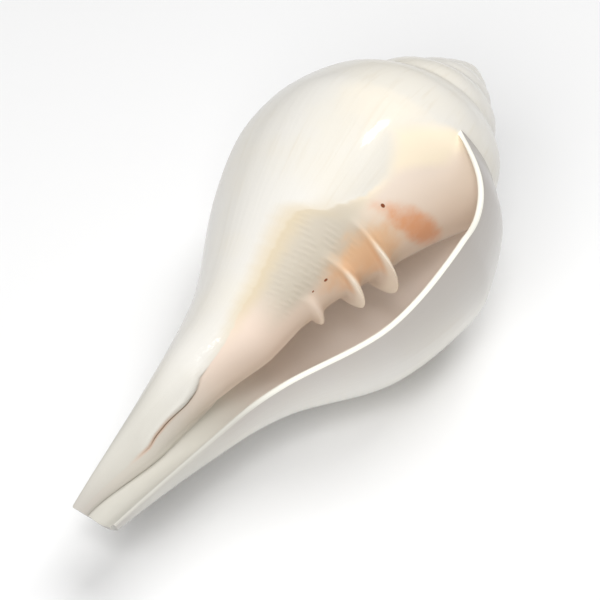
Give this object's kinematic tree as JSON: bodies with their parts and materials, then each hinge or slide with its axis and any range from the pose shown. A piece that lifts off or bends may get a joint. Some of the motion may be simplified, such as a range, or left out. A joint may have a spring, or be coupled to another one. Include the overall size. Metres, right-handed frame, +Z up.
{
  "type": "conch shell",
  "caption": "Heavy smooth conch shell with a low spire, a wide mouth, folds on the columella and a long open canal, lying mouth up.",
  "frame": {"origin": "middle of the bounding box at the level of the worn flat that the shell rests on", "axes": "+X along the shell's axis towards the spire, +Z up out of the open mouth, -Y to the lip's side"},
  "size_m": [0.1312, 0.0634, 0.058],
  "materials": {
    "shell": "glossy porcelain-like shell, ivory outside, cream and pale orange inside"
  },
  "bodies": {
    "root": {"shell": "shell"}
  },
  "joints": []
}
